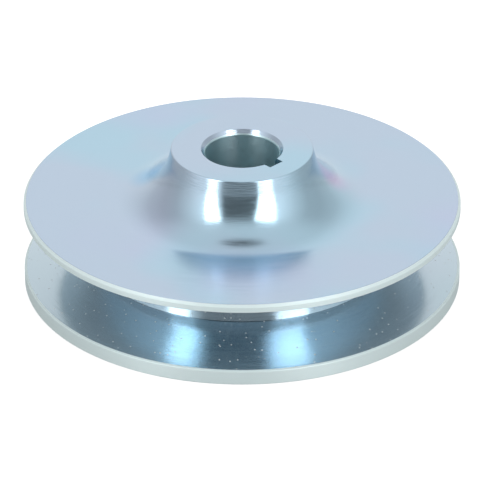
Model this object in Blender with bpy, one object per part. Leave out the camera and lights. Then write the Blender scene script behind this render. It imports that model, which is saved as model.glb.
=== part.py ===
"""Split V-belt pulley for a keyed generator shaft, as Blender solids in metres, +Z up.

The pulley is two turned steel pieces on one axis, Z. The hub half carries the bore, the keyway, the hub with
its long fillet, the upper flange, the groove floor and a spigot. The loose flange slides on to that spigot
from below and bears on the shoulder at the foot of the groove. The origin is on the axis, in the plane of the
face that the pulley stands on.
"""

import math

import bmesh
import bpy

MM = 0.001

# Driving dimensions of the belt groove.
FLANGE_RADIUS = 50.0 * MM
GROOVE_HALF_ANGLE = math.radians(18)
GROOVE_FLOOR_RADIUS = 35.7 * MM
GROOVE_OPENING = 15.15 * MM
LOWER_RIM_WIDTH = 3.37 * MM
UPPER_RIM_WIDTH = 1.85 * MM

# Driving dimensions of the hub and the bore.
HUB_FACE_RADIUS = 16.2 * MM
HUB_HEIGHT = 12.88 * MM  # hub face above the upper flange
HUB_LEAN = math.radians(13)  # of the hub's wall, from upright
HUB_FILLET_RADIUS = 12.8 * MM
BORE_RADIUS = 8.5 * MM
BORE_CHAMFER_WIDTH = 0.9 * MM
BORE_CHAMFER_DEPTH = 1.1 * MM
KEYWAY_WIDTH = 4.0 * MM
KEYWAY_FLOOR_RADIUS = 11.0 * MM
KEYWAY_DIRECTION = math.radians(-45)  # from +X, about Z

# Driving dimensions of the joint between the two pieces.
SPIGOT_RADIUS = 18.0 * MM
SPIGOT_RECESS = 1.5 * MM  # the spigot stops this far above the resting face
PIECE_GAP = 0.3 * MM  # between the two pieces, radially and at the shoulder

# Broken edges.
RIM_TOP_CHAMFER = 0.6 * MM
RIM_CHAMFER = 0.3 * MM
HUB_CHAMFER = 0.3 * MM
SPIGOT_CHAMFER = 0.5 * MM

SEGMENTS = 96  # facets round every turned surface
FILLET_STEPS = 10

# Heights that follow from the driving dimensions.
WALL_SLOPE = math.tan(GROOVE_HALF_ANGLE)
WALL_RISE = (FLANGE_RADIUS - GROOVE_FLOOR_RADIUS) * WALL_SLOPE
LOOSE_FACE_Z = LOWER_RIM_WIDTH + WALL_RISE
SHOULDER_Z = LOOSE_FACE_Z + PIECE_GAP
UPPER_RIM_Z = LOWER_RIM_WIDTH + GROOVE_OPENING
FLOOR_TOP_Z = UPPER_RIM_Z - WALL_RISE
FLANGE_TOP_Z = UPPER_RIM_Z + UPPER_RIM_WIDTH
HUB_FACE_Z = FLANGE_TOP_Z + HUB_HEIGHT


def clear_scene():
    """Removes whatever the scene holds."""
    for leftover in list(bpy.data.objects):
        bpy.data.objects.remove(leftover, do_unlink=True)


def metal(name, colour, roughness):
    """A metallic Principled material."""
    material = bpy.data.materials.new(name)
    material.use_nodes = True
    shader = material.node_tree.nodes["Principled BSDF"]
    shader.inputs["Base Color"].default_value = (*colour, 1)
    shader.inputs["Metallic"].default_value = 1
    shader.inputs["Roughness"].default_value = roughness
    return material


def turned(name, profile, material):
    """A solid turned about Z from a closed (radius, height) profile that stays off the axis."""
    mesh = bpy.data.meshes.new(name)
    work = bmesh.new()
    points = [work.verts.new((radius, 0, height)) for radius, height in profile]
    edges = [work.edges.new(pair) for pair in zip(points, points[1:] + points[:1])]
    bmesh.ops.spin(
        work,
        geom=points + edges,
        cent=(0, 0, 0),
        axis=(0, 0, 1),
        angle=2 * math.pi,
        steps=SEGMENTS,
        use_merge=True,
    )
    bmesh.ops.recalc_face_normals(work, faces=work.faces)
    work.to_mesh(mesh)
    work.free()
    mesh.shade_smooth()
    mesh.set_sharp_from_angle(angle=math.radians(30))
    mesh.materials.append(material)
    solid = bpy.data.objects.new(name, mesh)
    bpy.context.scene.collection.objects.link(solid)
    return solid


def hub_fillet():
    """Points of the fillet that runs the hub's conical wall out on to the upper flange, from top to toe."""
    wall_foot = HUB_FACE_RADIUS + HUB_HEIGHT * math.tan(HUB_LEAN)
    toe_radius = wall_foot + HUB_FILLET_RADIUS * math.tan((math.pi / 2 - HUB_LEAN) / 2)
    points = []
    for step in range(FILLET_STEPS + 1):
        turn = HUB_LEAN + (math.pi / 2 - HUB_LEAN) * step / FILLET_STEPS
        points.append((
            toe_radius - HUB_FILLET_RADIUS * math.cos(turn),
            FLANGE_TOP_Z + HUB_FILLET_RADIUS * (1 - math.sin(turn)),
        ))
    return points


def hub_half_profile():
    """Section of the hub half, up the bore, over the hub and flange, and back along the spigot."""
    return [
        (BORE_RADIUS + BORE_CHAMFER_WIDTH, SPIGOT_RECESS),
        (BORE_RADIUS, SPIGOT_RECESS + BORE_CHAMFER_DEPTH),
        (BORE_RADIUS, HUB_FACE_Z - BORE_CHAMFER_DEPTH),
        (BORE_RADIUS + BORE_CHAMFER_WIDTH, HUB_FACE_Z),
        (HUB_FACE_RADIUS - HUB_CHAMFER, HUB_FACE_Z),
        (HUB_FACE_RADIUS + HUB_CHAMFER * math.tan(HUB_LEAN), HUB_FACE_Z - HUB_CHAMFER),
        *hub_fillet(),
        (FLANGE_RADIUS - RIM_TOP_CHAMFER, FLANGE_TOP_Z),
        (FLANGE_RADIUS, FLANGE_TOP_Z - RIM_TOP_CHAMFER),
        (FLANGE_RADIUS, UPPER_RIM_Z + RIM_CHAMFER),
        (FLANGE_RADIUS - RIM_CHAMFER, UPPER_RIM_Z - RIM_CHAMFER * WALL_SLOPE),
        (GROOVE_FLOOR_RADIUS, FLOOR_TOP_Z),
        (GROOVE_FLOOR_RADIUS, SHOULDER_Z),
        (SPIGOT_RADIUS, SHOULDER_Z),
        (SPIGOT_RADIUS, SPIGOT_RECESS + SPIGOT_CHAMFER),
        (SPIGOT_RADIUS - SPIGOT_CHAMFER, SPIGOT_RECESS),
    ]


def loose_flange_profile():
    """Section of the loose flange, out along the resting face, up the rim and in along the groove wall."""
    hole = SPIGOT_RADIUS + PIECE_GAP
    return [
        (hole + SPIGOT_CHAMFER, 0),
        (FLANGE_RADIUS - RIM_CHAMFER, 0),
        (FLANGE_RADIUS, RIM_CHAMFER),
        (FLANGE_RADIUS, LOWER_RIM_WIDTH - RIM_CHAMFER),
        (FLANGE_RADIUS - RIM_CHAMFER, LOWER_RIM_WIDTH + RIM_CHAMFER * WALL_SLOPE),
        (GROOVE_FLOOR_RADIUS, LOOSE_FACE_Z),
        (hole + SPIGOT_CHAMFER, LOOSE_FACE_Z),
        (hole, LOOSE_FACE_Z - SPIGOT_CHAMFER),
        (hole, SPIGOT_CHAMFER),
    ]


def cut_keyway(solid):
    """Cuts the keyway along the whole bore, on one side of the axis."""
    mesh = bpy.data.meshes.new("keyway_cutter")
    work = bmesh.new()
    bmesh.ops.create_cube(work, size=1)
    bmesh.ops.scale(work, vec=(KEYWAY_FLOOR_RADIUS, KEYWAY_WIDTH, 2 * HUB_FACE_Z), verts=work.verts)
    bmesh.ops.translate(work, vec=(KEYWAY_FLOOR_RADIUS / 2, 0, HUB_FACE_Z / 2), verts=work.verts)
    work.to_mesh(mesh)
    work.free()
    cutter = bpy.data.objects.new("keyway_cutter", mesh)
    cutter.rotation_euler.z = KEYWAY_DIRECTION
    cutter.hide_render = True
    cutter.display_type = "WIRE"
    bpy.context.scene.collection.objects.link(cutter)
    cut = solid.modifiers.new("keyway", "BOOLEAN")
    cut.operation = "DIFFERENCE"
    cut.object = cutter


def build_hub_half(material):
    """Hub, upper flange, groove floor and spigot in one piece, with the keyed bore."""
    solid = turned("hub_half", hub_half_profile(), material)
    cut_keyway(solid)


def build_loose_flange(material):
    """The lower flange, a ring that sits on the spigot."""
    turned("loose_flange", loose_flange_profile(), material)


def main():
    clear_scene()
    build_hub_half(metal("hub_half_zinc_plate", (0.58, 0.68, 0.76), 0.22))
    build_loose_flange(metal("loose_flange_zinc_plate", (0.58, 0.68, 0.76), 0.22))


main()
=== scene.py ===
"""Looks for the split V-belt pulley: fine turned meshes, zinc plating, the light and the camera. Metres.

The two pieces are turned again from the CAD's section, finer and with rounded edges. Most of what the plating
shows is reflection, so the table, the tent and the two softboxes are shaped for what they put in the metal.
"""

import math

import bmesh
import bpy
from mathutils import Matrix, Vector


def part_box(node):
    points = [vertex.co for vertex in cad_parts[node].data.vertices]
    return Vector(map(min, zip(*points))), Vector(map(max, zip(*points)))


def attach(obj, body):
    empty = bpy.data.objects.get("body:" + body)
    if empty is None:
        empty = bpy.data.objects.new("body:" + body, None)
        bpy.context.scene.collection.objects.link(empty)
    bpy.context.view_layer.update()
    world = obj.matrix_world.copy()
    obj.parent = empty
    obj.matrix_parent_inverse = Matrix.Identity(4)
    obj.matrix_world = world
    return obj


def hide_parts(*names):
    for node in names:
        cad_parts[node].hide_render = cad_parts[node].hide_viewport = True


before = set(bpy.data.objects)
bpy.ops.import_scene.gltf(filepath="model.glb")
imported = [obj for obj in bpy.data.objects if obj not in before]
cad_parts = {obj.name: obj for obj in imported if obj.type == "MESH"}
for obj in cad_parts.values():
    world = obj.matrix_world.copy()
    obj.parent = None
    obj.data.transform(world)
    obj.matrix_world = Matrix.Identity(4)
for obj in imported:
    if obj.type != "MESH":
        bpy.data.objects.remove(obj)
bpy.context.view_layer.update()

MM = 0.001

# Heights and radii that the frame gives.
HUB_LOW, HUB_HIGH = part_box("hub_half")
FLANGE_LOW, FLANGE_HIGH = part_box("loose_flange")
RIM_RADIUS = HUB_HIGH.x
SPIGOT_END_Z = HUB_LOW.z
HUB_FACE_Z = HUB_HIGH.z
RESTING_Z = FLANGE_LOW.z
LOOSE_FACE_Z = FLANGE_HIGH.z

# The rest of the section, as the CAD has it.
GROOVE_FLOOR_RADIUS = 35.7 * MM
GROOVE_OPENING = 15.15 * MM
LOWER_RIM_Z = 3.37 * MM
UPPER_RIM_WIDTH = 1.85 * MM
HUB_FACE_RADIUS = 16.2 * MM
HUB_LEAN = math.radians(13)  # of the hub's wall, from upright
HUB_FILLET_RADIUS = 12.8 * MM
BORE_RADIUS = 8.5 * MM
BORE_CHAMFER_WIDTH = 0.9 * MM
BORE_CHAMFER_DEPTH = 1.1 * MM
KEYWAY_WIDTH = 4.0 * MM
KEYWAY_FLOOR_RADIUS = 11.0 * MM
KEYWAY_DIRECTION = math.radians(-45)  # from +X, about Z
SPIGOT_RADIUS = 18.0 * MM
SPIGOT_HOLE_RADIUS = 18.3 * MM
SEAM = 0.06 * MM  # what shows of the joint at the foot of the groove

UPPER_RIM_Z = LOWER_RIM_Z + GROOVE_OPENING
FLANGE_TOP_Z = UPPER_RIM_Z + UPPER_RIM_WIDTH
FLOOR_TOP_Z = UPPER_RIM_Z - (LOOSE_FACE_Z - LOWER_RIM_Z)

# Edges: radii, and the chamfer at the top of the upper rim.
FINE_EDGE = 0.12 * MM
EDGE = 0.3 * MM
SPIGOT_EDGE = 0.5 * MM
RIM_TOP_CHAMFER = 0.6 * MM

SEGMENTS = 360  # round each turned surface
SHARP_ANGLE = math.radians(35)
ARC_STEP = math.radians(4)  # turn between two points of a rounded corner


def rounded(corners):
    """The closed outline through (radius, height, rounding) corners, each corner replaced by its arc."""
    outline = []
    for index, (radius, height, rounding) in enumerate(corners):
        before = Vector(corners[index - 1][:2])
        after = Vector(corners[(index + 1) % len(corners)][:2])
        corner = Vector((radius, height))
        to_before = (before - corner).normalized()
        to_after = (after - corner).normalized()
        half = to_before.angle(to_after) / 2
        centre = corner + (to_before + to_after).normalized() * (rounding / math.sin(half))
        start = corner + to_before * (rounding / math.tan(half)) - centre
        turn = start.angle_signed(corner + to_after * (rounding / math.tan(half)) - centre)
        steps = max(2, math.ceil(abs(turn) / ARC_STEP))
        for step in range(steps + 1):
            outline.append(centre + Matrix.Rotation(-turn * step / steps, 2) @ start)
    return outline


def turned(name, corners):
    """A fine turned solid about Z, from the corners of its section."""
    outline = rounded(corners)
    count = len(outline)
    points = []
    for segment in range(SEGMENTS):
        angle = 2 * math.pi * segment / SEGMENTS
        points += [(p.x * math.cos(angle), p.x * math.sin(angle), p.y) for p in outline]
    faces = []
    for segment in range(SEGMENTS):
        here = segment * count
        there = (segment + 1) % SEGMENTS * count
        for a in range(count):
            b = (a + 1) % count
            faces.append((here + a, there + a, there + b, here + b))
    mesh = bpy.data.meshes.new(name)
    mesh.from_pydata(points, [], faces)
    work = bmesh.new()
    work.from_mesh(mesh)
    bmesh.ops.recalc_face_normals(work, faces=work.faces)
    work.to_mesh(mesh)
    work.free()
    solid = bpy.data.objects.new(name, mesh)
    bpy.context.scene.collection.objects.link(solid)
    return solid


def shade(solid):
    """Smooth shading with sharp creases."""
    solid.data.shade_smooth()
    solid.data.set_sharp_from_angle(angle=SHARP_ANGLE)


def cut_keyway(solid):
    """Cuts the keyway through the bore and applies the cut."""
    mesh = bpy.data.meshes.new("keyway_cutter")
    work = bmesh.new()
    bmesh.ops.create_cube(work, size=1)
    bmesh.ops.scale(work, vec=(KEYWAY_FLOOR_RADIUS, KEYWAY_WIDTH, 2 * HUB_FACE_Z), verts=work.verts)
    bmesh.ops.translate(work, vec=(KEYWAY_FLOOR_RADIUS / 2, 0, HUB_FACE_Z / 2), verts=work.verts)
    bmesh.ops.rotate(work, matrix=Matrix.Rotation(KEYWAY_DIRECTION, 3, "Z"), verts=work.verts)
    work.to_mesh(mesh)
    work.free()
    cutter = bpy.data.objects.new("keyway_cutter", mesh)
    bpy.context.scene.collection.objects.link(cutter)
    cut = solid.modifiers.new("keyway", "BOOLEAN")
    cut.operation = "DIFFERENCE"
    cut.object = cutter
    bpy.context.view_layer.update()
    evaluated = solid.evaluated_get(bpy.context.evaluated_depsgraph_get())
    result = bpy.data.meshes.new_from_object(evaluated)
    solid.modifiers.clear()
    solid.data = result
    bpy.data.objects.remove(cutter, do_unlink=True)


def hub_half():
    """Hub, upper flange, groove floor and spigot, with the keyed bore."""
    wall_foot = HUB_FACE_RADIUS + (HUB_FACE_Z - FLANGE_TOP_Z) * math.tan(HUB_LEAN)
    solid = turned("hub_half_turned", [
        (BORE_RADIUS + BORE_CHAMFER_WIDTH, SPIGOT_END_Z, FINE_EDGE),
        (BORE_RADIUS, SPIGOT_END_Z + BORE_CHAMFER_DEPTH, FINE_EDGE),
        (BORE_RADIUS, HUB_FACE_Z - BORE_CHAMFER_DEPTH, FINE_EDGE),
        (BORE_RADIUS + BORE_CHAMFER_WIDTH, HUB_FACE_Z, FINE_EDGE),
        (HUB_FACE_RADIUS, HUB_FACE_Z, EDGE),
        (wall_foot, FLANGE_TOP_Z, HUB_FILLET_RADIUS),
        (RIM_RADIUS - RIM_TOP_CHAMFER, FLANGE_TOP_Z, FINE_EDGE),
        (RIM_RADIUS, FLANGE_TOP_Z - RIM_TOP_CHAMFER, FINE_EDGE),
        (RIM_RADIUS, UPPER_RIM_Z, FINE_EDGE),
        (GROOVE_FLOOR_RADIUS, FLOOR_TOP_Z, EDGE),
        (GROOVE_FLOOR_RADIUS, LOOSE_FACE_Z + SEAM, FINE_EDGE),
        (SPIGOT_RADIUS, LOOSE_FACE_Z + SEAM, EDGE),
        (SPIGOT_RADIUS, SPIGOT_END_Z, SPIGOT_EDGE),
    ])
    cut_keyway(solid)
    shade(solid)
    return solid


def loose_flange():
    """The lower flange."""
    solid = turned("loose_flange_turned", [
        (SPIGOT_HOLE_RADIUS, RESTING_Z, SPIGOT_EDGE),
        (RIM_RADIUS, RESTING_Z, EDGE),
        (RIM_RADIUS, LOWER_RIM_Z, EDGE),
        (GROOVE_FLOOR_RADIUS, LOOSE_FACE_Z, FINE_EDGE),
        (SPIGOT_HOLE_RADIUS, LOOSE_FACE_Z, SPIGOT_EDGE),
    ])
    shade(solid)
    return solid


class Graph:
    """Short calls for building a node tree. A value may be a number, a colour or another node's output."""

    def __init__(self, tree):
        self.tree = tree

    def node(self, kind, **settings):
        """A new node with the given settings."""
        made = self.tree.nodes.new(kind)
        for key, value in settings.items():
            setattr(made, key, value)
        return made

    def feed(self, value, socket):
        """Gives a socket its value."""
        if isinstance(value, (int, float)):
            socket.default_value = value
        elif isinstance(value, tuple):
            socket.default_value = (*value, 1)
        else:
            self.tree.links.new(value, socket)

    def math(self, operation, *values):
        """Arithmetic on one to three values."""
        made = self.node("ShaderNodeMath", operation=operation)
        for socket, value in zip(made.inputs, values):
            self.feed(value, socket)
        return made.outputs[0]

    def ramp(self, value, low, high, to_low, to_high):
        """A smooth step from to_low, where the value is at most low, to to_high."""
        made = self.node("ShaderNodeMapRange", interpolation_type="SMOOTHSTEP")
        self.feed(value, made.inputs["Value"])
        for name, number in (("From Min", low), ("From Max", high), ("To Min", to_low), ("To Max", to_high)):
            made.inputs[name].default_value = number
        return made.outputs["Result"]

    def mix(self, factor, first, second):
        """A colour between two others."""
        made = self.node("ShaderNodeMix", data_type="RGBA")
        # A Mix node's colour sockets are its seventh and eighth inputs and its third output.
        for value, socket in ((factor, made.inputs[0]), (first, made.inputs[6]), (second, made.inputs[7])):
            self.feed(value, socket)
        return made.outputs[2]

    def noise(self, vector, scale, w):
        """Noise in four dimensions, from 0 to 1."""
        made = self.node("ShaderNodeTexNoise", noise_dimensions="4D")
        for value, name in ((vector, "Vector"), (w, "W"), (scale, "Scale"), (2, "Detail")):
            self.feed(value, made.inputs[name])
        return made.outputs[0]

    def measure(self, operation, vector, other=(0, 0, 0)):
        """A vector's length, its distance from a point or its dot product with a direction."""
        made = self.node("ShaderNodeVectorMath", operation=operation)
        self.feed(vector, made.inputs[0])
        made.inputs[1].default_value = other
        return made.outputs["Value"]

    def xyz(self, vector):
        """The three coordinates of a vector."""
        made = self.node("ShaderNodeSeparateXYZ")
        self.feed(vector, made.inputs[0])
        return made.outputs

    def radial(self, x, y):
        """Distance from the Z axis."""
        return self.math("SQRT", self.math("ADD", self.math("MULTIPLY", x, x), self.math("MULTIPLY", y, y)))


# Plating colours, linear.
PLATE = (0.52, 0.63, 0.765)
CYAN_CLOUD = (0.46, 0.66, 0.79)
LAVENDER_CLOUD = (0.54, 0.60, 0.79)
STRAW_CLOUD = (0.60, 0.62, 0.64)
GROOVE_PLATE = (0.59, 0.715, 0.775)
GROOVE_SHARE = 0.8  # of that colour in the groove
BORE_METAL = (0.61, 0.80, 0.85)
WORN_EDGE = (0.70, 0.82, 0.83)
WORN_EDGE_METALLIC = 0.28

# Clouds of colour. Each pair is the range of the noise in which a cloud comes in.
CLOUDS_PER_METRE = 26
WIDE_CLOUDS_PER_METRE = CLOUDS_PER_METRE * 0.7
WIDE_CLOUDS_SEED = 10  # added to the piece's own seed
CYAN_BETWEEN = (0.48, 0.68)
LAVENDER_BETWEEN = (0.50, 0.70)
STRAW_BETWEEN = (0.26, 0.36)
STRAW_SHARE = 0.6

# Colour and place of two painted reflections on the hub's flare: patches of colour that stand in for what the
# flare reflects.
PAINTED_REFLECTIONS = (
    ((0.24, 0.53, 0.80), (-19.8 * MM, 8 * MM, 23.6 * MM)),
    ((0.58, 0.49, 0.73), (19.2 * MM, 4.5 * MM, 24.8 * MM)),
)
REFLECTION_PATCH_CORE = 1 * MM
REFLECTION_PATCH_REACH = 8 * MM
REFLECTION_PATCH_SHARE = 0.95

# Where one surface passes into the next.
MASK_EDGE = 0.1 * MM
BORE_MASK_EDGE = 0.4 * MM  # beyond the bore's radius

# Marks of the lathe tool.
TOOL_MARKS_PER_METRE = 3600
TOOL_MARK_DEPTH = 0.018 * MM
TOOL_MARK_BREAKS = 5  # how often a mark breaks off on its way round
FLANGE_MARK_STRENGTH = 0.3  # at the flange and below, against 1 on the hub
HUB_MARKS_FROM = 1 * MM  # above the flange

# Polish.
ROUGHNESS = 0.17
SMOOTHEST = ROUGHNESS * 0.8  # between the tool marks
ROUGHEST = ROUGHNESS * 1.25
MARKS_BETWEEN = (0.3, 0.7)  # range of the marks' noise
BORE_ADDS_ROUGHNESS = 0.2
WEAR_ADDS_ROUGHNESS = 0.35
ANISOTROPY = 0.7
ANISOTROPY_TURN = 0.25  # of a full turn, so that it lies across the marks

# Dust in the groove.
DUST = (0.50, 0.56, 0.58)
DUST_CELLS_PER_METRE = 700
DUST_RADIUS = 0.15  # of a cell
DUST_CORE = DUST_RADIUS * 0.6
DUST_SHARE = 0.7  # of the cells hold a speck


def tool_marks(graph, x, y, z, radius):
    """Noise drawn out round Z, as a lathe tool leaves it."""
    across = graph.node("ShaderNodeCombineXYZ")
    graph.feed(graph.math("MULTIPLY", radius, TOOL_MARKS_PER_METRE), across.inputs[0])
    for axis, socket in ((x, across.inputs[1]), (y, across.inputs[2])):
        graph.feed(graph.math("MULTIPLY", graph.math("DIVIDE", axis, radius), TOOL_MARK_BREAKS), socket)
    return graph.noise(across.outputs[0], 1, graph.math("MULTIPLY", z, TOOL_MARKS_PER_METRE))


def clouded_plate(graph, point, seed):
    """The plating's colour: soft clouds of interference colour, and the painted reflections on the hub's
    flare.
    """
    clouds = graph.noise(point, CLOUDS_PER_METRE, seed)
    wide_clouds = graph.noise(point, WIDE_CLOUDS_PER_METRE, seed + WIDE_CLOUDS_SEED)
    colour = graph.mix(graph.ramp(clouds, *CYAN_BETWEEN, 0, 1), PLATE, CYAN_CLOUD)
    colour = graph.mix(graph.ramp(wide_clouds, *LAVENDER_BETWEEN, 0, 1), colour, LAVENDER_CLOUD)
    colour = graph.mix(graph.ramp(clouds, *STRAW_BETWEEN, STRAW_SHARE, 0), colour, STRAW_CLOUD)
    # Painted reflection: colour patches on the hub's flare, put in the plating's colour.
    for reflection_colour, reflection_spot in PAINTED_REFLECTIONS:
        reach = graph.measure("DISTANCE", point, reflection_spot)
        colour = graph.mix(graph.ramp(reach, REFLECTION_PATCH_CORE, REFLECTION_PATCH_REACH, REFLECTION_PATCH_SHARE, 0), colour, reflection_colour)
    return colour


def specks(graph, point):
    """1 on small round specks and 0 between them."""
    cells = graph.node("ShaderNodeTexVoronoi")
    graph.feed(point, cells.inputs["Vector"])
    cells.inputs["Scale"].default_value = DUST_CELLS_PER_METRE
    chance = graph.node("ShaderNodeSeparateColor")
    graph.feed(cells.outputs["Color"], chance.inputs[0])
    chosen = graph.math("LESS_THAN", chance.outputs[0], DUST_SHARE)
    speck = graph.ramp(cells.outputs["Distance"], DUST_CORE, DUST_RADIUS, 1, 0)
    return graph.math("MULTIPLY", chosen, speck)


def zinc_plate(name, seed):
    """Blue-clear zinc on turned steel, with lathe marks round Z, worn rims and dust in the groove."""
    material = bpy.data.materials.new(name)
    material.use_nodes = True
    shader = material.node_tree.nodes["Principled BSDF"]
    graph = Graph(material.node_tree)
    point = graph.node("ShaderNodeTexCoord").outputs["Object"]
    x, y, z = graph.xyz(point)
    radius = graph.radial(x, y)
    worn_from = RIM_RADIUS - RIM_TOP_CHAMFER
    groove = graph.ramp(z, UPPER_RIM_Z - MASK_EDGE, UPPER_RIM_Z, 1, 0)
    bore = graph.ramp(radius, BORE_RADIUS + MASK_EDGE, BORE_RADIUS + BORE_MASK_EDGE, 1, 0)
    worn = graph.ramp(radius, worn_from, worn_from + MASK_EDGE, 0, 1)

    colour = clouded_plate(graph, point, seed)
    colour = graph.mix(graph.math("MULTIPLY", groove, GROOVE_SHARE), colour, GROOVE_PLATE)
    colour = graph.mix(bore, colour, BORE_METAL)
    colour = graph.mix(worn, colour, WORN_EDGE)
    dusty = graph.math("MAXIMUM", graph.math("SUBTRACT", groove, worn), 0)
    dust = graph.math("MULTIPLY", specks(graph, point), dusty)
    graph.feed(graph.mix(dust, colour, DUST), shader.inputs["Base Color"])
    dull = graph.math("MAXIMUM", graph.math("MULTIPLY", worn, 1 - WORN_EDGE_METALLIC), dust)
    graph.feed(graph.math("SUBTRACT", 1, dull), shader.inputs["Metallic"])

    shader.inputs["Anisotropic"].default_value = ANISOTROPY
    shader.inputs["Anisotropic Rotation"].default_value = ANISOTROPY_TURN
    tangent = graph.node("ShaderNodeTangent", direction_type="RADIAL", axis="Z")
    graph.feed(tangent.outputs[0], shader.inputs["Tangent"])

    marks = tool_marks(graph, x, y, z, radius)
    rough = graph.ramp(marks, *MARKS_BETWEEN, SMOOTHEST, ROUGHEST)
    rough = graph.math("MULTIPLY_ADD", bore, BORE_ADDS_ROUGHNESS, rough)
    rough = graph.math("MULTIPLY_ADD", worn, WEAR_ADDS_ROUGHNESS, rough)
    graph.feed(rough, shader.inputs["Roughness"])
    bump = graph.node("ShaderNodeBump")
    strength = graph.ramp(z, FLANGE_TOP_Z, FLANGE_TOP_Z + HUB_MARKS_FROM, FLANGE_MARK_STRENGTH, 1)
    graph.feed(strength, bump.inputs["Strength"])
    graph.feed(marks, bump.inputs["Height"])
    bump.inputs["Distance"].default_value = TOOL_MARK_DEPTH
    graph.feed(bump.outputs[0], shader.inputs["Normal"])
    return material


# Brightness of the tent, by azimuth from -Y in degrees. It is the same on both sides.
TENT_BY_AZIMUTH = (
    (0, 0.15),
    (26, 0.15),
    (33, 0.90),
    (55, 1.15),
    (80, 0.80),
    (100, 0.58),
    (120, 0.56),
    (140, 0.66),
    (180, 0.95),
)


def by_azimuth(graph, x, y):
    """The tent's brightness in the direction (x, y)."""
    # Half of one minus the azimuth's cosine: 0 towards -Y, 1 towards +Y.
    behind = graph.math("MULTIPLY_ADD", graph.math("DIVIDE", y, graph.radial(x, y)), 0.5, 0.5)
    walls = graph.node("ShaderNodeValToRGB")
    graph.feed(behind, walls.inputs[0])
    stops = walls.color_ramp.elements
    stops.remove(stops[0])
    for index, (degrees, brightness) in enumerate(TENT_BY_AZIMUTH):
        position = (1 - math.cos(math.radians(degrees))) / 2
        stop = stops[0] if index == 0 else stops.new(position)
        stop.position = position
        stop.color = (brightness, brightness, brightness, 1)
    return walls.outputs[0]


# The table: darkest beside the pulley, a painted shadow, and about as bright as the tent further out, painted
# light that follows the tent's brightness by azimuth. Distances are radii.
FLOOR_SIZE = 8.0
FLOOR_PAINTED_SHADOW = (0.36, 0.36, 0.36)
FLOOR_PAINTED_SHADOW_TO = 0.062
FLOOR_NEAR = (0.58, 0.58, 0.58)
FLOOR_NEAR_FROM = 0.088
FLOOR_FADE_FROM = 0.11
FLOOR_FADE_TO = 0.32
FLOOR_FAR_LEAST = 0.48
FLOOR_FAR_MOST = 0.95
FLOOR_GLOSS = 1.0  # specular level near the pulley, which falls to 0 further out
FLOOR_ROUGHNESS = 0.15
FLOOR_LIFT = 0.74  # added for the camera alone, so that the table looks white; reflections don't get it


def floor():
    """A pale table, glossy round the pulley, with a painted shadow beside the pulley and painted light
    further out that follows the tent by azimuth. The camera sees it lifted to white, from any side.
    """
    mesh = bpy.data.meshes.new("floor")
    work = bmesh.new()
    bmesh.ops.create_grid(work, x_segments=1, y_segments=1, size=FLOOR_SIZE / 2)
    work.to_mesh(mesh)
    work.free()
    table = bpy.data.objects.new("floor", mesh)
    table.location.z = RESTING_Z
    material = bpy.data.materials.new("white_table")
    material.use_nodes = True
    shader = material.node_tree.nodes["Principled BSDF"]
    graph = Graph(material.node_tree)
    point = graph.node("ShaderNodeTexCoord").outputs["Object"]
    x, y, _ = graph.xyz(point)
    distance = graph.measure("LENGTH", point)
    # Painted shadow: the table's colour darkens beside the pulley.
    near_with_painted_shadow = graph.mix(graph.ramp(distance, FLOOR_PAINTED_SHADOW_TO, FLOOR_NEAR_FROM, 0, 1), FLOOR_PAINTED_SHADOW, FLOOR_NEAR)
    # Painted light: further out, the table's colour follows the tent's brightness by azimuth, within limits.
    painted_tent_light = graph.math("MAXIMUM", by_azimuth(graph, x, y), FLOOR_FAR_LEAST)
    painted_tent_light = graph.math("MINIMUM", painted_tent_light, FLOOR_FAR_MOST)
    far = graph.ramp(distance, FLOOR_FADE_FROM, FLOOR_FADE_TO, 0, 1)
    gloss = graph.ramp(distance, FLOOR_FADE_FROM, FLOOR_FADE_TO, FLOOR_GLOSS, 0)
    seen = graph.node("ShaderNodeLightPath").outputs["Is Camera Ray"]
    graph.feed(graph.mix(far, near_with_painted_shadow, painted_tent_light), shader.inputs["Base Color"])
    graph.feed(gloss, shader.inputs["Specular IOR Level"])
    graph.feed(graph.math("MULTIPLY", seen, FLOOR_LIFT), shader.inputs["Emission Strength"])
    shader.inputs["Emission Color"].default_value = (1, 1, 1, 1)
    shader.inputs["Roughness"].default_value = FLOOR_ROUGHNESS
    mesh.materials.append(material)
    bpy.context.scene.collection.objects.link(table)


WHITE = (1.0, 1.0, 1.0)
TENT_ROOF = (0.80, 0.80, 0.80)
ROOF_FROM = math.radians(38)  # elevation
ROOF_TO = math.radians(66)
HOLE = (0.15, 0.15, 0.15)
HOLE_ELEVATION = math.radians(81)  # above +Y
HOLE_CORE = math.radians(4)
HOLE_EDGE = math.radians(11)


def tent():
    """A tent with a dark opening on the side of -Y, below its roof, and a hole near the zenith.

    Reflections and light come from the tent. The camera itself sees plain white, from any side.
    """
    world = bpy.data.worlds.new("tent")
    bpy.context.scene.world = world
    world.use_nodes = True
    graph = Graph(world.node_tree)
    direction = graph.node("ShaderNodeTexCoord").outputs["Generated"]
    x, y, z = graph.xyz(direction)
    roof = graph.ramp(z, math.sin(ROOF_FROM), math.sin(ROOF_TO), 0, 1)
    whole = graph.mix(roof, by_azimuth(graph, x, y), TENT_ROOF)
    hole_direction = (0, math.cos(HOLE_ELEVATION), math.sin(HOLE_ELEVATION))
    towards = graph.measure("DOT_PRODUCT", direction, hole_direction)
    whole = graph.mix(graph.ramp(towards, math.cos(HOLE_EDGE), math.cos(HOLE_CORE), 0, 1), whole, HOLE)
    seen = graph.node("ShaderNodeLightPath").outputs["Is Camera Ray"]
    graph.feed(graph.mix(seen, whole, WHITE), world.node_tree.nodes["Background"].inputs["Color"])


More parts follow.
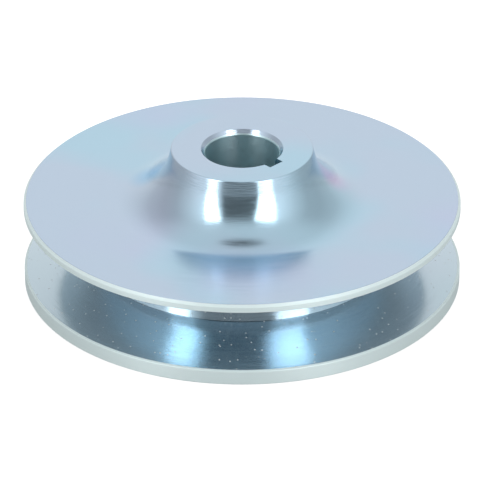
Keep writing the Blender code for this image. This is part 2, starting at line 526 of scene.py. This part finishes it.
SOFTBOX_DISTANCE = 2.0
SOFTBOX_ELEVATION = math.radians(24)
SOFTBOX_HEIGHT = 1.95
SOFTBOX_RADIANCE = 3.0
SOFTBOXES = (  # name, azimuth from -Y towards +X, and width as an angle
    ("softbox_left", math.radians(-44.5), math.radians(17)),
    ("softbox_right", math.radians(35), math.radians(24)),
)


def softbox(name, azimuth, spread):
    """A tall softbox that faces the pulley."""
    light = bpy.data.lights.new(name, "AREA")
    light.shape = "RECTANGLE"
    light.size = 2 * SOFTBOX_DISTANCE * math.tan(spread / 2)
    light.size_y = SOFTBOX_HEIGHT
    light.energy = SOFTBOX_RADIANCE * math.pi * light.size * light.size_y
    box = bpy.data.objects.new(name, light)
    flat = math.cos(SOFTBOX_ELEVATION) * SOFTBOX_DISTANCE
    height = math.sin(SOFTBOX_ELEVATION) * SOFTBOX_DISTANCE
    box.location = (flat * math.sin(azimuth), -flat * math.cos(azimuth), height)
    box.rotation_euler = (-box.location).to_track_quat("-Z", "Y").to_euler()
    box.visible_camera = False
    bpy.context.scene.collection.objects.link(box)


CAMERA_DISTANCE = 1.5
CAMERA_ELEVATION = math.radians(29.1)
CAMERA_AIM = Vector((1.8, 0, 6.7)) * MM
CAMERA_LENS = 470


def camera():
    """A long lens that looks along +Y and down at the pulley."""
    lens = bpy.data.cameras.new("camera")
    lens.lens = CAMERA_LENS
    viewer = bpy.data.objects.new("camera", lens)
    back = Vector((0, -math.cos(CAMERA_ELEVATION), math.sin(CAMERA_ELEVATION)))
    viewer.location = CAMERA_AIM + back * CAMERA_DISTANCE
    viewer.rotation_euler = (-back).to_track_quat("-Z", "Y").to_euler()
    bpy.context.scene.collection.objects.link(viewer)
    bpy.context.scene.camera = viewer


def stand_in(piece, body, node, material):
    """Gives a piece its material, hides the CAD node that it stands for and makes it move with its body."""
    piece.data.materials.clear()
    piece.data.materials.append(material)
    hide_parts(node)
    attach(piece, body)


bpy.context.scene.view_settings.view_transform = "Standard"
camera()
tent()
for softbox_name, softbox_azimuth, softbox_spread in SOFTBOXES:
    softbox(softbox_name, softbox_azimuth, softbox_spread)
floor()
stand_in(hub_half(), "hub", "hub_half", zinc_plate("hub_half_plate", seed=0))
stand_in(loose_flange(), "flange", "loose_flange", zinc_plate("loose_flange_plate", seed=5))
